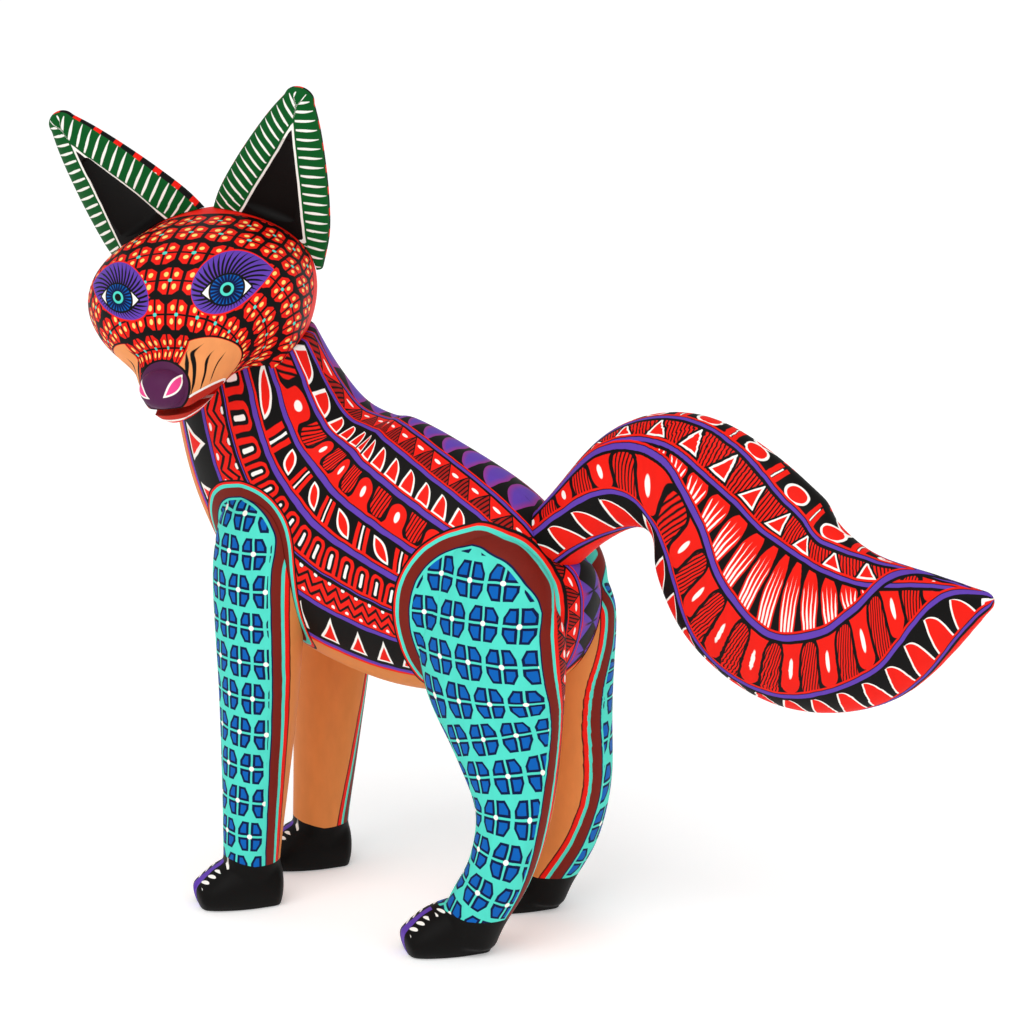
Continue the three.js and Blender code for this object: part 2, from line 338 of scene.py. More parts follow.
print("carving the tail")
tail = carve("tail_carving", tailForm, subdivide=2)
soften(tail, softening["tailGrain"], softening["tailPasses"])
combine(tail, [trunkSeat, tailHole])

print("carving the head and the ears")
head = carve("head_carving", headForm, headPlace)
nose = ball("nose", place=headPlace, **headForm["nose"])
mouth = ball("mouth", place=headPlace, **headForm["mouth"])
combine(head, [nose], "UNION")
headSeat = carve("head_seat", headForm, headPlace, grow=seatGap)
ears = {}
earPegs = {}
earHoles = []
for sideName, side in sides.items():
    place = earPlace(side)
    pegRoot = place @ Vector((0, 0, 5))
    pegLine = place.to_3x3() @ Vector((0, 0, 1))
    earPegs[sideName], hole = pushPeg(f"ear_{sideName}_dowel", pegRoot, pegLine, earForm["peg"])
    earHoles.append(hole)
    hollow = carve("hollow", earHollowForm, place)
    ears[sideName] = carve(f"ear_{sideName}_carving", earForm, place)
    combine(ears[sideName], [hollow, headSeat, hole])
    discard(hollow)
combine(head, [mouth, trunkSeat, neckHole, *earHoles])
discard(nose, mouth, headSeat, neckHole, tailHole, *earHoles)

print("carving the legs")


def pawPlace(form):
    turn = Matrix.Rotation(math.radians(paw["turn"] - 90), 4, "Z")
    return Matrix.Translation((*form["foot"], 0)) @ turn


def carvePaw(place):
    profile = [(0, -forward, height * 0.36, half, height * 0.64) for forward, height, half in paw["profile"]]
    piece = carve("paw", {**paw, "across": xAxis, "rings": profile}, place)
    toe = -(paw["profile"][-1][0] + paw["endCap"])
    width, length = paw["cleft"]["width"], paw["cleft"]["length"]
    slot = ball("slot", (0, toe - 1, 6), (width / 2, length, 16), place)
    combine(piece, [slot])
    discard(slot)
    return piece


def flattenSole(piece):
    activate(piece)
    bpy.ops.object.mode_set(mode="EDIT")
    bpy.ops.mesh.select_all(action="SELECT")
    bpy.ops.mesh.bisect(plane_co=(0, 0, 0.05), plane_no=(0, 0, 1), clear_inner=True, use_fill=True)
    bpy.ops.object.mode_set(mode="OBJECT")


legs = {}
for end, plan in legForms.items():
    for sideName, side in sides.items():
        name = f"leg_{end}_{sideName}"
        form = onSide(plan, side)
        leg = carve(f"{name}_carving", form)
        foot = carvePaw(pawPlace(form))
        combine(leg, [foot], "UNION")
        soften(leg, softening["legGrain"], softening["legPasses"])
        combine(leg, [trunkSeat])
        flattenSole(leg)
        discard(foot)
        legs[name] = (leg, form, side, end)
discard(trunkSeat)


# Measuring: how far along a form and round it each point lies, for the painted patterns.

def pointsOf(piece, place=Matrix.Identity(4)):
    points = np.zeros(len(piece.data.vertices) * 3)
    piece.data.vertices.foreach_get("co", points)
    turned = np.array(place.inverted())
    return points.reshape(-1, 3) @ turned[:3, :3].T + turned[:3, 3]


def lengthsAlong(line):
    return np.r_[0, np.cumsum(np.linalg.norm(np.diff(line, axis=0), axis=1))]


def measure(points, form, steps=240):
    shares = np.linspace(0, 1, steps)
    rings = np.array([ringAt(form, share) for share in shares])
    frames = [ringMatrix(form, share).normalized() for share in shares]
    sideLines, upLines, lines = (np.array([frame.col[i][:3] for frame in frames]) for i in range(3))
    distance = lengthsAlong(rings[:, :3])
    best = np.full(len(points), 1e9)
    found = {key: np.zeros(len(points)) for key in ("along", "turn", "halfAcross", "halfOther", "share")}
    egg = form.get("egg", 0)
    for i in range(steps):
        offset = points - rings[i, :3]
        past = offset @ lines[i]
        up = offset @ upLines[i] / rings[i, 4]
        side = offset @ sideLines[i] / rings[i, 3] / (1 + egg * np.clip(up, -1, 1))
        cost = past**2 + (min(rings[i, 3:5]) * (np.hypot(side, up) - 1)) ** 2
        closer = cost < best
        best[closer] = cost[closer]
        found["along"][closer] = (distance[i] + past)[closer]
        found["turn"][closer] = np.degrees(np.arctan2(up, side))[closer]
        found["halfAcross"][closer] = rings[i, 3]
        found["halfOther"][closer] = rings[i, 4]
        found["share"][closer] = shares[i]
    return found


# Each point's turn round its ring from this one, in degrees from -180 to 180.
def turnFrom(found, start):
    return (found["turn"] - start + 180) % 360 - 180


# Length round a ring from this turn to each point.
def lengthRound(found, start, steps=40):
    span = turnFrom(found, start)
    total = np.zeros(len(span))
    for i in range(steps):
        turn = np.radians(start + span * (i + 0.5) / steps)
        total += np.hypot(found["halfAcross"] * np.sin(turn), found["halfOther"] * np.cos(turn))
    return total * np.radians(span) / steps


def smoothStep(values, low, high):
    f = np.clip((values - low) / (high - low), 0, 1)
    return f * f * (3 - 2 * f)


def writeNumbers(piece, **values):
    for name, numbers in values.items():
        attribute = piece.data.attributes.new(name, "FLOAT", "POINT")
        attribute.data.foreach_set("value", np.asarray(numbers, np.float32))


def writePlace(piece, points):
    attribute = piece.data.attributes.new("place", "FLOAT_VECTOR", "POINT")
    attribute.data.foreach_set("vector", points.astype(np.float32).ravel())


# The trunk: bands run from the back, at 0, to the belly. Flipped bands have their
# base on the belly side. A step of -1 turns a band's pattern the other way along.
trunkPaint = {
    "girth": 135,
    "bands": [
        ("scallops", 0.0, 0.098, 10, False, 1), ("teeth", 0.122, 0.197, 8.8, True, 1),
        ("fins", 0.219, 0.293, 7.6, True, -1), ("tongues", 0.316, 0.393, 16, True, 1),
        ("leaves", 0.412, 0.474, 16.5, False, 1), ("comb", 0.495, 0.561, 5.9, False, 1),
        ("zigzags", 0.569, 0.636, 5.0, False, 1), ("triangles", 0.652, 0.742, 9.4, True, 1),
    ],
    "lines": [
        (0.110, 0.75), (0.208, 0.85), (0.304, 0.95), (0.402, 0.9), (0.485, 0.9), (0.565, 0.2), (0.644, 0.7),
    ],
    "belly": 0.752, "rumpPeriod": 11.5,
    "twist": 33, "twistStart": 25, "twistLength": 133,  # the bands wind this many degrees round the body
    "crowding": 0.32, "crowdStart": 45, "crowdLength": 120,  # and their patterns crowd up the neck
}


legPaint = {
    "front": {"rowLength": 13.6, "columnWidth": 10.2, "shift": 6, "ankle": 17, "brown": 3.4},
    "hind": {"rowLength": 14.6, "columnWidth": 12.4, "shift": 2, "ankle": 15, "brown": 3.9},
}
# A band of teeth runs down behind the left hind leg's panel and dies out at its foot.
legTeeth = {"width": 5.5, "period": 9.5, "reach": 8, "bottom": 58, "height": 45, "start": (4, 8)}

# The flowered panel over each leg, seen from the side as x and z, is painted on the trunk too.
# Inner is how near the middle of the body it reaches, at the front and at the rear. Down the
# leg it is bounded by lengths round the leg instead, to the front and to the rear, each going
# from one value to the other between two lengths down the leg. Settled and turned are the
# heights where that takes over.
legPanels = {
    "front": {
        "outline": [
            (-41, 156), (-34, 154), (-28, 148.5), (-25.5, 140), (-25.5, 120), (-26, 90), (-28, 60),
            (-52, 60), (-53.5, 90), (-54.5, 120), (-55, 140), (-53, 149), (-48, 154.3),
        ],
        "settled": (110, 134), "turned": (132, 146), "inner": (21, 21), "corner": 6,
        "toFront": (20, 15.5, 15, 90), "toRear": (11.8, 10.8, 40, 110), "rearShift": {"left": 0, "right": 2},
    },
    "hind": {
        "outline": [
            (51, 150.6), (61, 150.6), (66.5, 148.8), (72, 144.5), (76, 139), (79, 132), (81, 124), (82, 98),
            (80, 70),
            (42, 70), (34.5, 90), (30.3, 108), (29.3, 124), (32.5, 137), (40, 146),
        ],
        "settled": (84, 104), "turned": (126, 141), "inner": (13, 22.5), "corner": 16,
        "toFront": (26, 21, 45, 80), "toRear": (26.5, 15.2, 38, 85), "rearShift": {"left": 0, "right": 8.5},
    },
}


# Where a panel turns round the rump, and how much further in it reaches near the top there.
panelRear = {"start": 50, "end": 62, "low": 122, "high": 138, "reach": 4, "narrowing": 0.4}


def insideAny(points, corners):
    inside = np.zeros(len(points), bool)
    for i in range(len(corners)):
        (ax, az), (bx, bz) = corners[i - 1], corners[i]
        crosses = (points[:, 1] < az) != (points[:, 1] < bz)
        height = (points[:, 1] - az) / (bz - az if bz != az else 1)
        inside ^= crosses & (points[:, 0] < ax + height * (bx - ax))
    return inside


# Distance inside the panel seen from the side, and length down it and across it to the front.
def panelNumbers(points, end):
    panel = legPanels[end]
    flat = points[:, [0, 2]]
    knots = np.array(panel["outline"] + panel["outline"][:1], float)
    outline = [smoothThrough(knots, i / 90) for i in range(90)]
    gap, _ = distanceTo(flat, outline)
    edge = np.where(insideAny(flat, outline), gap, -gap)
    rear = smoothStep(points[:, 0], panelRear["start"], panelRear["end"])
    inner = panel["inner"][0] * (1 - rear) + panel["inner"][1] * rear
    high = smoothStep(points[:, 2], panelRear["low"], panelRear["high"])
    inner = inner - panelRear["reach"] * rear * high
    inward = (np.abs(points[:, 1]) - inner) * (1 - panelRear["narrowing"] * rear)
    # the two limits meet in a round corner
    corner = panel["corner"]
    blend = np.maximum(corner - np.abs(edge - inward), 0) / corner
    edge = np.minimum(edge, inward) - blend**2 * corner / 4
    rings = np.array(legForms[end]["rings"])[::-1]
    axis = np.interp(points[:, 2], rings[:, 2], rings[:, 0])
    return edge, rings[-1, 2] - points[:, 2], axis - points[:, 0]


# Where the trunk's bands turn down the rump, and the bare arch under them.
rumpTurn = {
    "start": 66, "end": 74, "middle": 3, "spread": 1.78, "top": 155,
    "bare": 104, "under": 55, "archMiddle": 5, "arch": 0.045,
}


def measureTrunk():
    points = pointsOf(trunk)
    found = measure(points, trunkForm)
    along = found["along"]
    fromBack = turnFrom(found, 270)
    wound = np.clip((along - trunkPaint["twistStart"]) / trunkPaint["twistLength"], 0, 1)
    fromBack = fromBack - trunkPaint["twist"] * wound * (0.5 + 0.5 * np.cos(np.radians(fromBack)))
    upNeck = np.maximum(along - trunkPaint["crowdStart"], 0)
    stretched = along - trunkPaint["crowding"] * upNeck**2 / trunkPaint["crowdLength"]
    # on the rump the bands turn down beside its middle line
    turned = smoothStep(points[:, 0], rumpTurn["start"], rumpTurn["end"])
    fromMiddle = np.abs(points[:, 1] - rumpTurn["middle"]) * rumpTurn["spread"] / trunkPaint["girth"]
    across = (1 - turned) * np.abs(fromBack) / 180 + turned * fromMiddle
    down = (1 - turned) * stretched + turned * (points[:, 2] - rumpTurn["top"])
    bare = np.where(points[:, 0] > rumpTurn["under"], rumpTurn["bare"] - points[:, 2], -50)
    bare = bare - turned * (points[:, 1] - rumpTurn["archMiddle"]) ** 2 * rumpTurn["arch"]
    writeNumbers(trunk, along=down, across=across, bare=bare)
    for end in legForms:
        edge, down, across = panelNumbers(points, end)
        writeNumbers(trunk, **{f"{end}Edge": edge, f"{end}Down": down, f"{end}Across": across})


# Painted lines along the tail's flanks, as knots of length along it and angle round it.
tailLines = {
    "crest": [(0, 100), (50, 103), (66, 107), (93, 125), (140, 123), (166, 105), (185, 97), (206, 97)],
    "middle": [(0, 118), (40, 121), (60, 139), (76, 153), (100, 151), (133, 142), (170, 138), (206, 120)],
    "heart": [
        (0, 108), (42, 128), (62, 151), (75, 172), (100, 186), (130, 193), (150, 178), (166, 152),
        (177, 122), (190, 80), (206, 60),
    ],
    "belly": [
        (0, 150), (12, 156), (33, 172), (55, 196), (63, 213), (83, 214), (100, 224), (117, 244),
        (133, 236), (150, 221), (167, 207), (183, 180), (193, 150), (206, 110),
    ],
    "keel": [
        (0, 214), (12, 218), (35, 246), (50, 258), (90, 262), (120, 268), (150, 266), (180, 250),
        (206, 215),
    ],
}


# A painted line's angles at each length along the tail, with the corners of its knots rounded.
def lineTurns(knots, along):
    grid = np.arange(-30, 240)
    window = np.hanning(19)
    padded = np.pad(np.interp(grid, *zip(*knots)), 9, mode="edge")
    return np.interp(along, grid, np.convolve(padded, window / window.sum(), mode="valid"))


# Length along a painted line, for each length along the tail's middle.
def lineRun(knots, along, steps=200):
    shares = np.linspace(0, 1, steps)
    middles = np.array([ringAt(tailForm, share)[:3] for share in shares])
    passed = lengthsAlong(middles)
    turns = np.radians(lineTurns(knots, passed))
    line = np.array([
        ringMatrix(tailForm, share) @ Vector((math.cos(turn), math.sin(turn), 0))
        for share, turn in zip(shares, turns)
    ])
    return np.interp(along, passed, lengthsAlong(line))


def measureTail():
    found = measure(pointsOf(tail), tailForm, steps=320)
    along = found["along"]
    fold = np.abs(turnFrom(found, 90))
    values = {}
    for name, knots in tailLines.items():
        turn = lineTurns(knots, along)
        values[f"{name}Run"] = lineRun(knots, along)
        span = np.radians(90 + fold - turn)
        middle = np.radians((90 + fold + turn) / 2)
        sideways, upright = found["halfAcross"] * np.sin(middle), found["halfOther"] * np.cos(middle)
        values[name] = span * np.hypot(sideways, upright)
    writeNumbers(tail, **values)


def measureLeg(leg, form, side, end):
    points = pointsOf(leg)
    found = measure(points, form)
    outward = 90 if side < 0 else 270
    across = lengthRound(found, outward) * -side
    along = found["along"]
    before = np.maximum(-along, 0)
    across = across * np.sqrt(np.clip(1 - (before / form["startCap"]) ** 2, 0.0004, 1))
    panel = legPanels[end]
    toFront, toRear = (near + (far - near) * smoothStep(along, start, stop)
                       for near, far, start, stop in (panel["toFront"], panel["toRear"]))
    toRear = toRear + panel["rearShift"]["left" if side < 0 else "right"]
    flatEdge, flatDown, flatAcross = panelNumbers(points, end)
    flat = smoothStep(points[:, 2], *panel["settled"])
    turned = smoothStep(points[:, 2], *panel["turned"])
    frontEdge = flat * np.where(across > 0, flatEdge, 99) + (1 - flat) * (toFront - across)
    rearEdge = turned * flatEdge + (1 - turned) * (toRear + across)
    edge = np.minimum(frontEdge, rearEdge)
    rear = smoothStep(-across, *legTeeth["start"]) if side < 0 and end == "hind" else 0
    up = np.clip((points[:, 2] - legTeeth["bottom"]) / legTeeth["height"], 0, 1)
    teethWide = rear * up * legTeeth["reach"]
    across = flat * flatAcross + (1 - flat) * across
    along = flat * flatDown + (1 - flat) * along
    writeNumbers(leg, along=along, across=across, edge=edge, teethWide=teethWide)
    writePlace(leg, pointsOf(leg, pawPlace(form)))


# Length over the surface from one ring of the form, along the line that each point lies on.
def surfaceLength(found, form, fromShare, steps=160, lines=72):
    shares = np.linspace(0, 1, steps)
    turns = np.radians(np.arange(lines) * 360 / lines)
    egg = 1 + form.get("egg", 0) * np.sin(turns)
    unit = np.stack([np.cos(turns) * egg, np.sin(turns), 0 * turns, 0 * turns + 1])
    rows = np.array([(np.array(ringMatrix(form, share)) @ unit)[:3].T for share in shares])
    steps = np.linalg.norm(np.diff(rows, axis=0), axis=2)
    length = np.r_[np.zeros((1, lines)), np.cumsum(steps, axis=0)]
    length = length - length[int(fromShare * len(shares))]
    row = found["share"] * (len(shares) - 1)
    line = (found["turn"] % 360) / 360 * lines
    low = np.minimum(row.astype(int), len(shares) - 2)
    first = line.astype(int) % lines
    second = (first + 1) % lines
    f, g = row - low, line - line.astype(int)
    near = length[low, first] * (1 - g) + length[low, second] * g
    far = length[low + 1, first] * (1 - g) + length[low + 1, second] * g
    return near * (1 - f) + far * f


def measureHead():
    points = pointsOf(head, headPlace)
    found = measure(points, headForm, steps=400)
    along = surfaceLength(found, headForm, 0.5)
    writeNumbers(head, along=along, around=np.abs(turnFrom(found, 90)))
    writePlace(head, points)


# The ear's edge seen from the front, and the black triangle inside it.
earTriangle = [(-10.5, 4), (14, 2), (0.5, 44)]


def distanceTo(points, corners, closed=True):
    nearest = np.full(len(points), 1e9)
    travelled = np.zeros(len(points))
    start = 0
    for i in range(len(corners) if closed else len(corners) - 1):
        a = np.array(corners[i], float)
        b = np.array(corners[(i + 1) % len(corners)], float)
        line = b - a
        share = np.clip((points - a) @ line / (line @ line), 0, 1)
        gap = np.linalg.norm(points - a - share[:, None] * line, axis=1)
        closer = gap < nearest
        nearest[closer] = gap[closer]
        travelled[closer] = (start + share * np.linalg.norm(line))[closer]
        start += np.linalg.norm(line)
    return nearest, travelled


def insideOf(points, corners):
    depth = np.full(len(points), 1e9)
    for i in range(len(corners)):
        a = np.array(corners[i], float)
        b = np.array(corners[(i + 1) % len(corners)], float)
        line = (b - a) / np.linalg.norm(b - a)
        depth = np.minimum(depth, (points - a) @ np.array((-line[1], line[0])))
    return depth


def measureEar(ear, side):
    points = pointsOf(ear, earPlace(side))
    flat = np.stack([points[:, 0] * -side, points[:, 2]], axis=1)
    edge = [(x, z) for _, _, z, x, _ in (ringAt(earForm, i / 24) for i in range(25))]
    edge.append((3, edge[-1][1] + 4))
    outline = [(-x, z) for x, z in edge] + [(x, z) for x, z in reversed(edge)]
    rim, travelled = distanceTo(flat, outline, closed=False)
    # the back's paint comes round the inner edge of the right ear
    shown = np.where(flat[:, 0] < 0, 0.30 if side > 0 else 0.1, 0.1)
    thick = 6.5 - (np.maximum(flat[:, 1], 0) / 54) ** 2 * 3.3
    back = points[:, 1] + thick * shown
    writeNumbers(ear, rim=rim, travelled=travelled, heart=insideOf(flat, earTriangle), back=back)
    writePlace(ear, np.stack([flat[:, 0], points[:, 1], flat[:, 1]], axis=1))


print("measuring the forms")
measureTrunk()
measureTail()
for leg, form, side, end in legs.values():
    measureLeg(leg, form, side, end)
measureHead()
for sideName, side in sides.items():
    measureEar(ears[sideName], side)


# Paint: numbers that change over the surface are added and compared as shader nodes.

def paint(red, green, blue):
    parts = [part / 255 for part in (red, green, blue)]
    linear = [part / 12.92 if part <= 0.04045 else ((part + 0.055) / 1.055) ** 2.4 for part in parts]
    return (*linear, 1)


paints = {
    "red": paint(238, 27, 14), "black": paint(12, 10, 9), "purple": paint(98, 62, 172),
    "brown": paint(118, 30, 20), "turquoise": paint(80, 218, 198), "blue": paint(0, 94, 180),
    "navy": paint(4, 20, 66), "tan": paint(222, 136, 72), "green": paint(0, 84, 30),
    "cream": paint(252, 248, 240), "yellow": paint(254, 222, 120), "nose": paint(84, 34, 74),
    "pink": paint(236, 70, 140), "orchid": paint(150, 54, 140), "crimson": paint(170, 20, 14),
    "brick": paint(190, 48, 34), "muzzle": paint(240, 154, 92), "paleWood": paint(214, 168, 110),
    "darkWood": paint(176, 122, 70),
}


class Wire:
    def __init__(self, tree, socket):
        self.tree = tree
        self.socket = socket

    def __add__(self, other):
        return maths(self.tree, "ADD", self, other)

    __radd__ = __add__

    def __sub__(self, other):
        return maths(self.tree, "SUBTRACT", self, other)

    def __rsub__(self, other):
        return maths(self.tree, "SUBTRACT", other, self)

    def __mul__(self, other):
        return maths(self.tree, "MULTIPLY", self, other)

    __rmul__ = __mul__

    def __truediv__(self, other):
        return maths(self.tree, "DIVIDE", self, other)

    def __abs__(self):
        return maths(self.tree, "ABSOLUTE", self)


def feed(tree, socket, value):
    if isinstance(value, Wire):
        tree.links.new(value.socket, socket)
    else:
        socket.default_value = value


def maths(tree, operation, *values, clamp=False):
    node = tree.nodes.new("ShaderNodeMath")
    node.operation = operation
    node.use_clamp = clamp
    for socket, value in zip(node.inputs, values):
        feed(tree, socket, value)
    return Wire(tree, node.outputs[0])


def least(*values):
    made = values[0]
    for value in values[1:]:
        made = maths(made.tree, "MINIMUM", made, value)
    return made


def most(*values):
    made = values[0]
    for value in values[1:]:
        made = maths(made.tree, "MAXIMUM", made, value)
    return made


def squared(value):
    return value * value


def root(value):
    return maths(value.tree, "SQRT", value)


def reach(x, y):
    return root(x * x + y * y)


def wrap(value, period):
    return maths(value.tree, "FRACT", value / period)


def tile(value, period):
    return (wrap(value, period) - 0.5) * period


# 1 where the distance is above 0, with an edge as soft as a brush's.
def shape(distance, soft=0.07):
    return maths(distance.tree, "MULTIPLY_ADD", distance, 0.5 / soft, 0.5, clamp=True)


def over(base, mask, colour):
    tree = mask.tree
    node = tree.nodes.new("ShaderNodeMix")
    node.data_type = "RGBA"
    feed(tree, node.inputs[0], mask)
    feed(tree, node.inputs[6], paints[base] if isinstance(base, str) else base)
    feed(tree, node.inputs[7], paints[colour] if isinstance(colour, str) else colour)
    return Wire(tree, node.outputs[2])


# Coats of paint, each laid where its distance is above 0.
def coats(colour, *layers):
    for distance, name, *soft in layers:
        colour = over(colour, shape(distance, *soft), name)
    return colour


def attribute(tree, name, output="Fac"):
    node = tree.nodes.new("ShaderNodeAttribute")
    node.attribute_name = name
    return Wire(tree, node.outputs[output])


def dot(place, vector):
    node = place.tree.nodes.new("ShaderNodeVectorMath")
    node.operation = "DOT_PRODUCT"
    feed(place.tree, node.inputs[0], place)
    node.inputs[1].default_value = vector
    return Wire(place.tree, node.outputs["Value"])


# Every socket of a group is a number, apart from one called Color.
def newGroup(name, inputs, build, outputs=("Color",)):
    tree = bpy.data.node_groups.new(name, "ShaderNodeTree")
    for direction, labels in (("INPUT", inputs), ("OUTPUT", outputs)):
        for label in labels:
            kind = "NodeSocketColor" if label == "Color" else "NodeSocketFloat"
            tree.interface.new_socket(name=label, in_out=direction, socket_type=kind)
    start = tree.nodes.new("NodeGroupInput")
    made = build(*[Wire(tree, start.outputs[label]) for label in inputs])
    end = tree.nodes.new("NodeGroupOutput")
    for socket, value in zip(end.inputs, made if isinstance(made, tuple) else (made,)):
        feed(tree, socket, value)
    return tree


def useGroup(tree, group, *values):
    node = tree.nodes.new("ShaderNodeGroup")
    node.node_tree = group
    for socket, value in zip(node.inputs, values):
        feed(tree, socket, value)
    made = [Wire(tree, output) for output in node.outputs]
    return made[0] if len(made) == 1 else made


# A red shape inside a cream outline.
def outlined(colour, edge, line=0.75):
    return over(over(colour, shape(edge), "cream"), shape(edge - line), "red")


# Patterns in a band. Along is in millimetres, across runs from 0 to 1, width is the band's.

def hatching(along, depth):
    return shape(0.27 - abs(tile(along + depth * 0.22, 1.3)), 0.1)


def triangles(along, across, width, period):
    side = abs(tile(along, period))
    edge = least(across * width - 0.5, (1 - across * 1.12) * period * 0.33 - side)
    return outlined("black", edge)


def zigzags(along, across, width, period):
    side = abs(tile(along, period))
    depth = across * width
    stripes = abs(tile(depth + side * 1.25, width * 0.36))
    colour = over("red", shape(0.62 - stripes), "black")
    near = reach(side, (across - 0.13) * width)
    far = reach(side - period / 2, (across - 0.87) * width)
    return over(colour, shape(0.62 - least(near, far)), "cream")


def comb(along, across, width, period):
    side = abs(tile(along, period))
    depth = across * width
    arch = reach(side, most(0.32 * width - depth, 0))
    colour = over("black", shape(period * 0.42 - arch), "red")
    colour = over(colour, shape(period * 0.22 - arch), "black")
    dash = reach(side, most(abs(across - 0.55) * width - 0.2 * width, 0))
    return over(colour, shape(0.5 - dash), "cream")


def tents(along, across, width, period):
    side = abs(tile(along, period))
    depth = across * width
    edge = least((across - 0.20) * width, (0.90 - across) * period * 0.40 - side)
    colour = over("red", hatching(along, depth), "black")
    return outlined(over(colour, shape(edge + 0.9), "black"), edge)


def ovals(along, across, width, period):
    x = tile(along, period)
    y = (across - 0.5) * width
    edge = (1 - reach(x / (period * 0.24), y / (width * 0.36))) * width * 0.36
    colour = outlined("black", edge, 0.7)
    bars = abs(period / 2 - abs(x) - 1.6)
    return coats(
        colour, (least(1.0 - bars, width * 0.42 - abs(y)), "red"),
        (least(0.3 - (period / 2 - abs(x)), width * 0.3 - abs(y)), "cream"),
    )


def diamonds(along, across, width, period):
    edge = (abs(tile(along, period)) * 2 / period + across - 1) * width * 0.7
    rows = period / 2 - abs(tile(along, period))
    colour = over("black", shape(least(edge - 0.3, rows - 0.4), 0.25), "purple")
    return over(colour, shape(edge - width * 0.42, 1.6), "orchid")


def leaves(along, across, width, period):
    x = tile(along, period)
    y = (across - 0.5) * width
    long = x * 0.80 - y * 0.60
    wide = x * 0.60 + y * 0.80
    half = width * 0.60
    edge = (1 - squared(long / half)) * width * 0.27 - abs(wide)
    colour = outlined("black", edge)
    bars = period / 2 - abs(x + y * 0.12)
    inset = width * 0.5 - 0.5 - abs(y)
    return coats(
        colour, (least(0.75 - abs(bars - 1.9), inset), "red"),
        (least(0.33 - bars, inset), "cream"),
    )


def tongues(along, across, width, period):
    side = abs(tile(along, period))
    depth = across * width
    flare = squared(most(1 - across * 3.2, 0)) * period * 0.16
    solidHalf = period * 0.215
    solid = solidHalf + flare - reach(side, most(depth - width * 0.93 + solidHalf, 0))
    gapHalf = period * 0.21
    otherSide = period / 2 - side
    hatched = gapHalf - reach(otherSide, most((1 - across) * width - width * 0.9 + gapHalf, 0))
    lines = over("red", hatching(along, depth), "black")
    colour = over("black", shape(hatched), lines)
    colour = over(colour, shape(solid), "red")
    oval = reach(side / 0.95, (across - 0.5) * width / (width * 0.17))
    return over(colour, shape(1 - oval, 0.1), "cream")


def fins(along, across, width, period):
    x = wrap(along, period) * period
    height = least(across * 1.16, 1)
    curve = root(most(1 - squared(height), 0))
    edge = least(x - 0.4 - height * period * 0.10, period * (0.14 + 0.72 * curve) - x)
    edge = least(edge, across * width - 0.5)
    return outlined("black", edge, 0.72)


def teeth(along, across, width, period):
    side = abs(tile(along, period))
    depth = across * width
    line = depth - width * (1 - side * 2 / period)
    lines = over("crimson", hatching(along, depth), "black")
    colour = over(lines, shape(line), "red")
    colour = over(colour, shape(0.42 - abs(line) * 0.75), "black")
    oval = reach((period / 2 - side) / 1.5, (across - 0.64) * width / 0.75)
    return over(colour, shape(1 - oval, 0.1), "cream")


def scallops(along, across, width, period):
    x = wrap(along, period) * period
    curve = root(most(1 - squared(across), 0))
    edge = least(x - 0.4 - across * period * 0.2, period * (0.22 + 0.68 * curve) - x)
    colour = over("black", shape(edge), "orchid")
    return over(colour, shape(edge - 1.1, 1.1), "purple")


def feathers(along, across, width, period):
    side = tile(along, period)
    x = side + (across - 0.5) * width * 0.14
    half = least(period * (0.30 + across * 0.26), period * 0.43)
    edge = half - reach(x, most(across - 0.55, 0) * period * 1.02)
    strokes = least((0.74 - across) * 1.1, 0.58) - abs(tile(x / (0.62 + across * 0.55), 2.3)) * 0.9
    strokes = least(strokes, edge - 0.7, (across - 0.05) * width)
    return over(over("black", shape(edge), "red"), shape(strokes), "cream")


bandInputs = ("Along", "Across", "Width", "Period")
bandPaints = (
    triangles, zigzags, comb, tents, ovals, diamonds, leaves, tongues, fins, teeth, scallops, feathers,
)
bands = {build.__name__: newGroup(build.__name__, bandInputs, build) for build in bandPaints}


# A painted line: purple between thin red or black edges. Gap is the distance from its middle.
def borderLine(gap, half):
    colour = over("black", shape(gap * -1), "red")
    return coats(colour, (half + 0.45 - abs(gap - 0.1), "black"), (half - abs(gap), "purple"))


lineGroup = newGroup("border line", ("Gap", "Half"), borderLine)


def drawLine(colour, gap, half):
    line = useGroup(gap.tree, lineGroup, gap, half)
    return over(colour, shape(half + 1.15 - abs(gap)), line)


def noiseOf(tree, scale, detail, stretch=(1, 1, 1), output="Fac"):
    coordinates = tree.nodes.new("ShaderNodeTexCoord")
    mapping = tree.nodes.new("ShaderNodeMapping")
    mapping.inputs["Scale"].default_value = stretch
    tree.links.new(coordinates.outputs["Object"], mapping.inputs["Vector"])
    noise = tree.nodes.new("ShaderNodeTexNoise")
    feed(tree, noise.inputs["Scale"], scale)
    noise.inputs["Detail"].default_value = detail
    tree.links.new(mapping.outputs[0], noise.inputs["Vector"])
    return Wire(tree, noise.outputs[output])


# Small wavering of a brush, in millimetres, and the tint and height of its strokes.
def wavering(scale, amount):
    tree = scale.tree
    parts = tree.nodes.new("ShaderNodeSeparateColor")
    feed(tree, parts.inputs[0], noiseOf(tree, scale, 1, output="Color"))
    return tuple((Wire(tree, parts.outputs[i]) - 0.5) * amount for i in range(2))


def brushWork(colour, streaks):
    tree = colour.tree
    stroke = noiseOf(tree, 260, 3, (1, 1, 0.35))
    speck = noiseOf(tree, 900, 2)
    shade = tree.nodes.new("ShaderNodeHueSaturation")
    feed(tree, shade.inputs["Color"], colour)
    feed(tree, shade.inputs["Value"], (stroke - 0.5) * streaks + 1)
    luma = tree.nodes.new("ShaderNodeRGBToBW")
    feed(tree, luma.inputs[0], colour)
    height = speck * 0.35 + stroke * 0.5 + Wire(tree, luma.outputs[0]) * 0.8
    return Wire(tree, shade.outputs[0]), 0.46 + stroke * 0.14, height


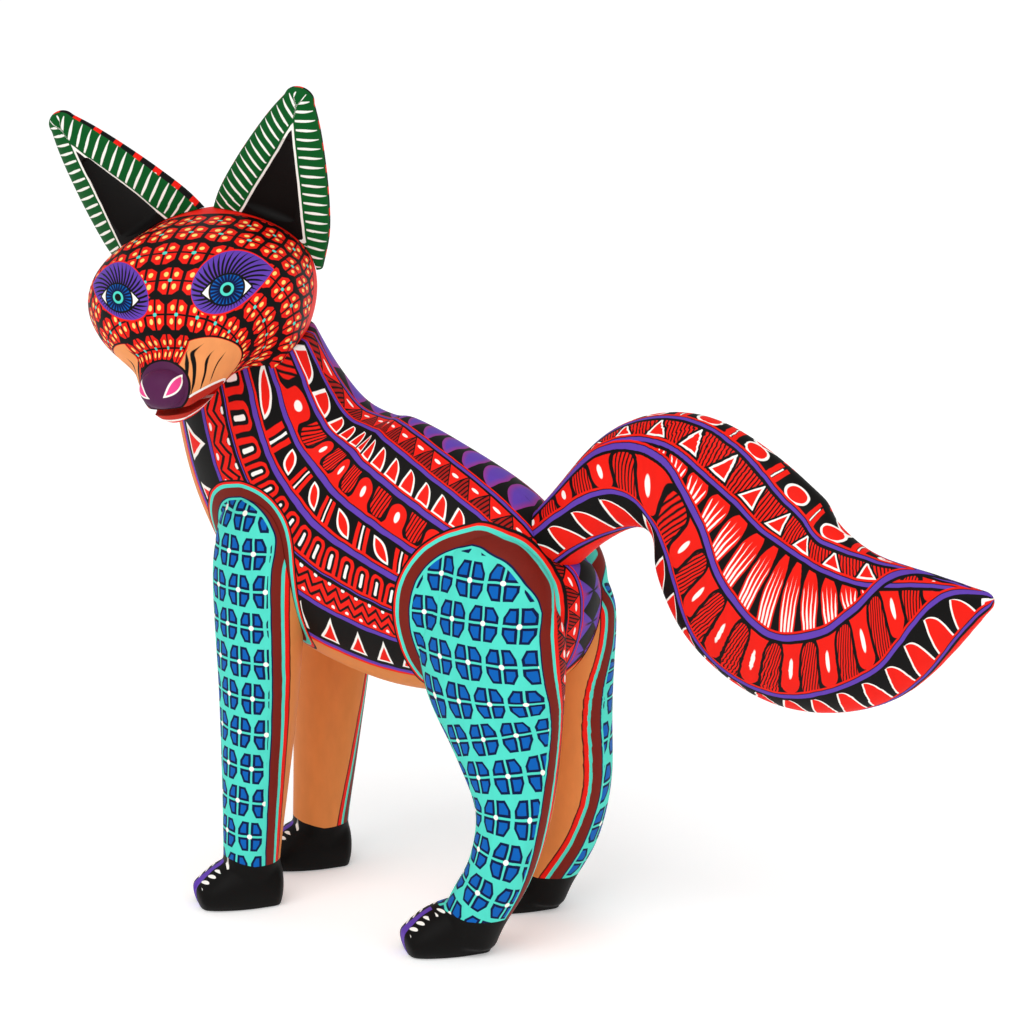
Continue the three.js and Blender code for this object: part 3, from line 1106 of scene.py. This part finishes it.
waverGroup = newGroup("brush waver", ("Scale", "Amount"), wavering, ("Along", "Across"))
brushGroup = newGroup(
    "brush work", ("Color", "Streaks"), brushWork, ("Color", "Roughness", "Height"),
)


def newMaterial(name):
    material = bpy.data.materials.new(name)
    material.use_nodes = True
    material.node_tree.nodes.clear()
    return material, material.node_tree


def addShader(tree, **values):
    shader = tree.nodes.new("ShaderNodeBsdfPrincipled")
    for label, value in values.items():
        feed(tree, shader.inputs[label.replace("_", " ")], value)
    output = tree.nodes.new("ShaderNodeOutputMaterial")
    tree.links.new(shader.outputs[0], output.inputs["Surface"])


def finishMaterial(tree, colour, streaks=0.22, relief=0.00006):
    shade, roughness, height = useGroup(tree, brushGroup, colour, streaks)
    bump = tree.nodes.new("ShaderNodeBump")
    bump.inputs["Strength"].default_value = 0.5
    bump.inputs["Distance"].default_value = relief
    feed(tree, bump.inputs["Height"], height)
    normal = Wire(tree, bump.outputs["Normal"])
    addShader(tree, Base_Color=shade, Roughness=roughness, Normal=normal, Specular_IOR_Level=0.1)


def wavered(tree, scale=140, amount=0.9):
    return useGroup(tree, waverGroup, scale, amount)


# The x, y and z of a point's place on its own piece.
def axesOf(place):
    return [dot(place, axis) for axis in ((1, 0, 0), (0, 1, 0), (0, 0, 1))]


# Flowers of four petals parted by a cross.
def flowerPetals(x, y, halfWide, halfLong):
    px = abs(x)
    py = abs(y)
    corner = halfLong * 1.28 - (px / halfWide * halfLong * 0.62 + py)
    outer = least(halfWide - px, corner, halfLong - py)
    return least(outer, px - 0.42, py - 0.38)


def flowerCell(along, across, rowLength, columnWidth):
    row = maths(along.tree, "FLOOR", along / rowLength)
    x = (maths(along.tree, "FRACT", across / columnWidth + row * 0.5) - 0.5) * columnWidth
    y = tile(along, rowLength)
    return x, y


def blueFlowers(along, across, rowLength, columnWidth):
    x, y = flowerCell(along, across, rowLength, columnWidth)
    petals = flowerPetals(y, x, rowLength * 0.43, columnWidth * 0.44)
    colour = over(over("turquoise", shape(petals), "navy"), shape(petals - 0.95), "blue")
    return over(colour, shape(0.95 - reach(x, y)), "cream")


def redFlowers(along, across, rowLength, columnWidth):
    x, y = flowerCell(along, across, rowLength, columnWidth)
    petals = flowerPetals(x, y, columnWidth * 0.43, rowLength * 0.43)
    colour = over("black", shape(petals), "red")
    drop = reach((abs(x) - columnWidth * 0.2) / 0.75, abs(y) - rowLength * 0.19)
    return coats(colour, (1 - drop, "yellow", 0.12), (0.75 - reach(x, y), "turquoise"))


flowerInputs = ("Along", "Across", "Row Length", "Column Width")
blueFlowerGroup = newGroup("blue flowers", flowerInputs, blueFlowers)
redFlowerGroup = newGroup("red flowers", flowerInputs, redFlowers)


# A panel of flowers over a leg, with turquoise, brown and navy borders.
def paintPanel(colour, plan, edge, along, across):
    flowers = useGroup(edge.tree, blueFlowerGroup, along, across, plan["rowLength"], plan["columnWidth"])
    outer = edge + plan["brown"]
    return coats(
        colour, (outer + 2.2, "turquoise"), (outer + 0.9, "brown"), (edge + 0.9, "navy"),
        (edge + 0.4, "turquoise"), (edge - 0.4, flowers),
    )


def paintTrunk():
    material, tree = newMaterial("painted_trunk")
    waverAlong, waverAcross = wavered(tree)
    girth = trunkPaint["girth"]
    along = attribute(tree, "along") + waverAlong
    across = attribute(tree, "across") * girth + waverAcross
    colour = "black"
    for pattern, start, end, period, flipped, step in trunkPaint["bands"]:
        width = (end - start) * girth
        share = (end * girth - across) / width if flipped else (across - start * girth) / width
        band = useGroup(tree, bands[pattern], along * step, share, width, period)
        if pattern == "scallops":
            rump = useGroup(tree, bands["diamonds"], along, share, width, trunkPaint["rumpPeriod"])
            band = over(band, shape(along * -1 - 2), rump)
        colour = over(colour, shape(across - start * girth), band)
    belly = across - trunkPaint["belly"] * girth
    colour = coats(colour, (belly, "purple"), (belly - 1.9, "red"), (belly - 3.4, "tan", 0.3))
    for place, half in trunkPaint["lines"]:
        colour = drawLine(colour, across - place * girth, half)
    bare = attribute(tree, "bare") + waverAcross
    colour = coats(colour, (bare + 1.4, "red"), (bare, "tan"))
    for end, plan in legPaint.items():
        edge = attribute(tree, f"{end}Edge") + waverAcross * 0.6
        down = attribute(tree, f"{end}Down") + waverAlong + plan["shift"]
        acrossLeg = attribute(tree, f"{end}Across") + waverAcross
        outer = edge + plan["brown"]
        colour = coats(colour, (outer + 3.7, "black"), (outer + 3.0, "red"))
        colour = paintPanel(colour, plan, edge, down, acrossLeg)
    finishMaterial(tree, colour)
    return material


# Under the crest each pattern fills the flank from one line to the next, which it runs along.
# Flipped bands have their base on the upper line.
tailPaint = {
    "crest": ("ovals", 9, 21),
    "bands": [
        ("tents", "crest", "middle", 13.5, False), ("feathers", "middle", "heart", 10, False),
        ("tongues", "heart", "belly", 18, True), ("fins", "belly", "keel", 12, False),
    ],
    "lines": {"crest": 0.6, "middle": 0.7, "heart": 1.15, "belly": 0.85, "keel": 0.55},
}


def paintTail():
    material, tree = newMaterial("painted_tail")
    waverAlong, waverAcross = wavered(tree)
    gaps = {name: attribute(tree, name) + waverAcross for name in tailLines}
    runs = {name: attribute(tree, f"{name}Run") + waverAlong for name in tailLines}
    pattern, width, period = tailPaint["crest"]
    colour = useGroup(tree, bands[pattern], runs["crest"], (gaps["crest"] + width) / width, width, period)
    for pattern, upper, lower, period, flipped in tailPaint["bands"]:
        span = most(gaps[upper] - gaps[lower], 1)
        share = (gaps[upper] if flipped else gaps[lower] * -1) / span
        band = useGroup(tree, bands[pattern], runs[lower], share, span, period)
        colour = over(colour, shape(gaps[upper]), band)
    colour = over(colour, shape(gaps["keel"]), "red")
    for name, half in tailPaint["lines"].items():
        colour = drawLine(colour, gaps[name], half)
    finishMaterial(tree, colour)
    return material


def paintLeg(end):
    plan = legPaint[end]
    material, tree = newMaterial(f"painted_{end}_leg")
    waverAlong, waverAcross = wavered(tree)
    along = attribute(tree, "along") + waverAlong + plan["shift"]
    across = attribute(tree, "across") + waverAcross
    edge = attribute(tree, "edge") + waverAcross * 0.6
    outside = (edge + plan["brown"] + 3.9) * -1
    reached = attribute(tree, "teethWide")
    width = legTeeth["width"]
    teethBand = useGroup(tree, bands["teeth"], along, outside / width, width, legTeeth["period"])
    colour = over("tan", shape(reached - outside + 0.5), "black")
    colour = coats(
        colour, (least(reached, width) - outside, teethBand), (outside * -1, "red", 0.3),
    )
    colour = paintPanel(colour, plan, edge, along, across)
    # the hoof: black, a purple stripe down the cleft, and white dashes beside it
    x, y, height = axesOf(attribute(tree, "place", "Vector"))
    forward = y * -1
    height = height + waverAcross
    hoof = plan["ankle"] - height + most(forward, 0) * 0.25
    colour = over(colour, shape(hoof), "black")
    stripe = least(1.5 - abs(x) + most(forward - 14, 0) * 0.2, forward - 9.5)
    colour = over(colour, shape(least(stripe, hoof)), "purple")
    group = abs(forward - 10.4)
    dash = reach(tile(forward - 10.4 + abs(x) * 0.5, 2.5) / 0.62, (abs(x) - 4.2) / 1.9)
    dash = least(1 - dash, group - 1.2, 8.2 - group)
    colour = over(colour, shape(least(dash, height - 4, hoof)), "cream")
    finishMaterial(tree, colour)
    return material


# Eyes, in the head's own millimetres: the middle, the way outwards and the way up.
eyePaint = {
    "left": {"at": (23.9, -30.6, 16.5), "out": (14.2, 9.7, -2.9), "up": (-0.2, 7.7, 9.3), "spread": 1.0},
    "right": {"at": (-15.8, -34.6, 18.6), "out": (-17.6, 8.3, -1.1), "up": (-2.4, 8.4, 8.0), "spread": 1.12},
}


# How far a point is from the nearest of so many strokes round a middle.
def strokesRound(angle, distance, count):
    return abs(tile(angle, 2 * math.pi / count)) * distance


def paintEye(out, up):
    angle = maths(out.tree, "ARCTAN2", up, out)
    distance = reach(out, up)
    # the patch is round on the inner side and drawn out to a point on the outer side
    u = out + 0.5
    v = abs(up - 3.4 - out * 0.14)
    drawn = 1 - squared(most(u, 0) / 17.5)
    rounded = root(most(1 - squared(least(u, 0) / 12), 0))
    patch = (least(drawn, rounded) * 11.4 - v - most(u * -1 - 12, 0)) * 0.85
    almond = (1 - squared(out / 9.0)) * 5.5 - abs(up)
    lashes = strokesRound(angle + distance * 0.035, distance, 38)
    lashes = least(least(patch * 0.14, 0.42) - lashes, almond * -1 - 0.2)
    colour = over("purple", shape(lashes, 0.1), "black")
    colour = coats(
        colour, (almond + 0.5, "black"), (almond - 0.4, "cream"),
        (least(6.5 - distance, almond + 0.3), "black"),
        (least(5.8 - distance, almond - 0.2), "blue"),
    )
    strokes = least(0.42 - strokesRound(angle, distance, 24), (5.9 - distance) * 0.5, almond - 0.2)
    colour = coats(
        colour, (strokes, "navy", 0.1), (3.1 - distance, "navy"), (2.45 - distance, "turquoise"),
    )
    return over(colour, shape(1.5 - distance), "black"), patch


eyeGroup = newGroup("painted eye", ("Out", "Up"), paintEye, ("Color", "Patch"))


# Whiskers: y and z of the top, the slope of y on z, z of the bottom, and half the thickness.
whiskers = [
    (-42.0, -0.5, 0.82, -13.8, 0.40), (-40.7, 1.0, 0.575, -15.4, 0.48),
    (-38.8, -2.5, 0.53, -15.5, 0.42), (-36.0, -4.5, 0.50, -14.0, 0.22),
]


# The flowers' rows and columns, and how much of a column a degree round the head takes.
headPaint = {"rowLength": 12.6, "columnWidth": 8.6, "perDegree": 0.60}


def paintHead():
    material, tree = newMaterial("painted_head")
    waverAlong, waverAcross = wavered(tree, amount=0.6)
    place = attribute(tree, "place", "Vector")
    x, y, z = axesOf(place)
    x, y, z = x + waverAcross, y + waverAlong, z + waverAcross
    along = attribute(tree, "along") + waverAlong
    across = attribute(tree, "around") * headPaint["perDegree"] + waverAcross
    colour = useGroup(tree, redFlowerGroup, along, across, headPaint["rowLength"], headPaint["columnWidth"])
    # plain red behind the jaw and between the ears
    bare = most(y - z * 0.75 - 9, least(y - 9.5 - abs(x) * 0.12, z - 14))
    colour = coats(colour, (bare + 0.6, "black"), (bare, "red"))
    # muzzle patches, one on each cheek, with whiskers
    cheek = 13.4 - reach(reach(abs(x) - 13.2, y + 39.5), z + 9.8)
    bridge = abs(x) - 6.0 - most(z + 4.4, 0) * 0.62 - least(most(x * -1, 0), 4)
    muzzle = least(cheek, bridge)
    colour = coats(
        colour, (least(cheek + 0.9, bridge + 1.0), "black"),
        (least(cheek + 0.2, bridge + 0.6), "red"), (muzzle, "muzzle", 0.1),
    )
    for startY, startZ, slope, endZ, thick in whiskers:
        down = startZ - z
        bow = down * (startZ - endZ - down) * 0.011
        line = abs(y - startY + down * slope - bow) * 0.82
        ends = least(least(down, z - endZ) * 0.11, muzzle + 0.4)
        colour = over(colour, shape(least(ends, thick) - line), "black")
    # lips: an open mouth outlined in white, drawn to a round corner, over a red chin
    line = z + 18.7 + most(y + 47, 0) * 0.03
    open = root(most(1 - squared(most(y + 47, 0) / 17.6), 0)) * 3.9 - abs(line)
    front = -29.4 - y
    colour = coats(
        colour, (least(line * -1, -14 - y, front + 13), "red"),
        (least(open + 0.9, front + 0.9), "cream"), (least(open, front), "brick"),
    )
    # nose
    snout = 1 - reach(reach((x + 0.4) / 10, (y + 51.5) / 10), (z + 9.6) / 9.4)
    snout = least(snout * 9, z + 17.3)
    colour = coats(colour, (snout + 0.7, "black"), (snout, "nose"))
    # nostrils
    sideways = abs(x) - 5.6
    lengthwise = sideways * -0.45 - (y + 52.6) * 0.80 - (z + 9.0) * 0.39
    crosswise = sideways * 0.457 + (y + 52.6) * 0.166 - (z + 9.0) * 0.868
    nostril = (1 - squared(lengthwise / 4.9)) * 1.7 - abs(crosswise + 0.25)
    nostril = least(nostril, snout + 0.5)
    colour = coats(colour, (nostril + 0.45, "cream"), (nostril - 0.25, "pink"))
    # eyes
    for eye in eyePaint.values():
        out, up = Vector(eye["out"]).normalized(), Vector(eye["up"]).normalized()
        normal = out.cross(up)
        outDual = up.cross(normal) / out.dot(up.cross(normal))
        upDual = normal.cross(out) / up.dot(normal.cross(out))
        outward = (dot(place, tuple(outDual)) - outDual.dot(Vector(eye["at"]))) / eye["spread"]
        upward = dot(place, tuple(upDual)) - upDual.dot(Vector(eye["at"]))
        painted, patch = useGroup(tree, eyeGroup, outward, upward)
        front = least(patch, -5 - y)
        colour = coats(colour, (front + 0.55, "red"), (front, painted))
    finishMaterial(tree, colour)
    return material


# How far apart the ear's strokes, the blocks on its edge, and the diamonds on its back are.
earPaint = {"strokes": 3.7, "blocks": 8.5, "diamonds": (9, 11)}


def paintEar():
    material, tree = newMaterial("painted_ear")
    waverAlong, waverAcross = wavered(tree, amount=0.6)
    rim = attribute(tree, "rim") + waverAcross
    travelled = attribute(tree, "travelled") + waverAlong
    heart = attribute(tree, "heart") + waverAcross
    x, _, height = axesOf(attribute(tree, "place", "Vector"))
    inward = heart * -1
    share = rim / most(rim + inward, 0.5)
    slant = travelled + rim * 0.22
    thick = (1 - squared(share * 1.9 - 1.0)) * 0.52
    stroke = least(thick - abs(tile(slant, earPaint["strokes"])), rim - 0.6, inward - 1.5)
    front = over("green", shape(stroke, 0.1), "cream")
    front = coats(front, (heart + 0.8, "cream"), (heart, "black"))
    side = abs(tile(x, earPaint["diamonds"][0]))
    up = abs(tile(height, earPaint["diamonds"][1]))
    diamond = 4.2 - side - up * 0.8
    back = over(over("black", shape(diamond), "red"), shape(0.9 - reach(side, up)), "cream")
    step = tile(travelled, earPaint["blocks"])
    blocks = least(1.5 - abs(step), 4.0 - rim)
    back = coats(
        back, (least(4.8 - rim, blocks + 5), "black"), (blocks, "red"),
        (0.7 - reach(step, rim - 1.6), "cream"),
    )
    colour = over(front, shape(attribute(tree, "back") + waverAcross * 0.5), back)
    finishMaterial(tree, colour)
    return material


def paintWood():
    material, tree = newMaterial("bare_copal_wood")
    grain = noiseOf(tree, 700, 4, (1, 1, 0.12))
    mask = maths(tree, "MULTIPLY_ADD", grain, 2.4, -0.8, clamp=True)
    colour = over("paleWood", mask, "darkWood")
    finishMaterial(tree, colour, streaks=0.1, relief=0.0001)
    return material


print("mixing the paints")
trunkMaterial = paintTrunk()
tailMaterial = paintTail()
legMaterials = {end: paintLeg(end) for end in legForms}
headMaterial = paintHead()
earMaterial = paintEar()
woodMaterial = paintWood()


# Settling: a finished piece moves into the frame and rides on its body.
def settle(piece, material, body, slot, *nodes):
    piece.data.transform(intoFrame)
    piece.data.materials.clear()
    piece.data.materials.append(material)
    activate(piece)
    bpy.ops.object.shade_smooth_by_angle(angle=math.radians(38))
    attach(piece, body)
    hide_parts(*nodes)


print("settling the pieces")
settle(trunk, trunkMaterial, "carving", "trunk_paint", "trunk")
settle(head, headMaterial, "carving", "head_paint", "head")
settle(tail, tailMaterial, "tail", "tail_paint", "tail")
settle(tailPeg, woodMaterial, "tail", "bare_wood", "tail_peg")
for name, (leg, form, side, end) in legs.items():
    settle(leg, legMaterials[end], "carving", "leg_paint", name)
for sideName in sides:
    settle(ears[sideName], earMaterial, f"ear_{sideName}", "ear_paint", f"ear_{sideName}")
    settle(earPegs[sideName], woodMaterial, f"ear_{sideName}", "bare_wood", f"ear_{sideName}_peg")
for name, node in frame["nodes"].items():
    if "dowel" in name:
        node.data.materials.clear()
        node.data.materials.append(woodMaterial)

print("lighting the stage")
stagePlan = {
    "floorSize": 40, "floorShade": (0.97, 0.97, 0.965, 1), "floorGlow": 0.25, "skyStrength": 0.62,
    "azimuth": 30, "elevation": 16, "distance": 1.5, "lens": 150,
    "aim": (-0.01, 0.0186, 0.0049),  # from the middle of the figure's box
    "lights": {  # azimuth, elevation, distance, size, power
        "key": (5, 52, 6, 4.2, 150), "fill": (80, 35, 6, 4.5, 45),
    },
}


# From the figure towards something seen at these angles, in degrees.
def towards(azimuth, elevation):
    a, e = math.radians(azimuth), math.radians(elevation)
    return Vector((math.sin(a) * math.cos(e), -math.cos(a) * math.cos(e), math.sin(e)))


def turnTo(thing, direction):
    thing.rotation_mode = "QUATERNION"
    thing.rotation_quaternion = direction.to_track_quat("Z", "Y")


def makeStage():
    bpy.ops.object.select_all(action="DESELECT")
    bpy.ops.mesh.primitive_plane_add(size=stagePlan["floorSize"], location=(0, 0, -0.0002))
    floor = bpy.context.object
    floor.name = "floor"
    material, tree = newMaterial("pale_floor")
    addShader(
        tree, Base_Color=stagePlan["floorShade"], Roughness=0.8, Specular_IOR_Level=0.1,
        Emission_Color=(1, 1, 1, 1), Emission_Strength=stagePlan["floorGlow"],
    )
    floor.data.materials.append(material)
    world = bpy.data.worlds.new("white_room")
    bpy.context.scene.world = world
    world.use_nodes = True
    sky = world.node_tree.nodes["Background"]
    sky.inputs["Color"].default_value = (1, 1, 1, 1)
    sky.inputs["Strength"].default_value = stagePlan["skyStrength"]


def makeLight(name, azimuth, elevation, distance, size, power):
    light = bpy.data.lights.new(name, "AREA")
    light.shape = "SQUARE"
    light.size = size
    light.energy = power
    lamp = bpy.data.objects.new(name, light)
    bpy.context.scene.collection.objects.link(lamp)
    lamp.location = towards(azimuth, elevation) * distance
    turnTo(lamp, lamp.location)


def makeCamera():
    camera = bpy.data.objects.new("camera", bpy.data.cameras.new("camera"))
    bpy.context.scene.collection.objects.link(camera)
    camera.data.lens = stagePlan["lens"]
    camera.data.sensor_width = 36
    camera.data.clip_end = 50
    back = towards(stagePlan["azimuth"], stagePlan["elevation"])
    aim = (cadBox[0] + cadBox[1]) / 2 + Vector(stagePlan["aim"])
    camera.location = aim + back * stagePlan["distance"]
    turnTo(camera, back)
    bpy.context.scene.camera = camera


makeStage()
for name, plan in stagePlan["lights"].items():
    makeLight(name, *plan)
makeCamera()
bpy.context.scene.view_settings.view_transform = "Standard"
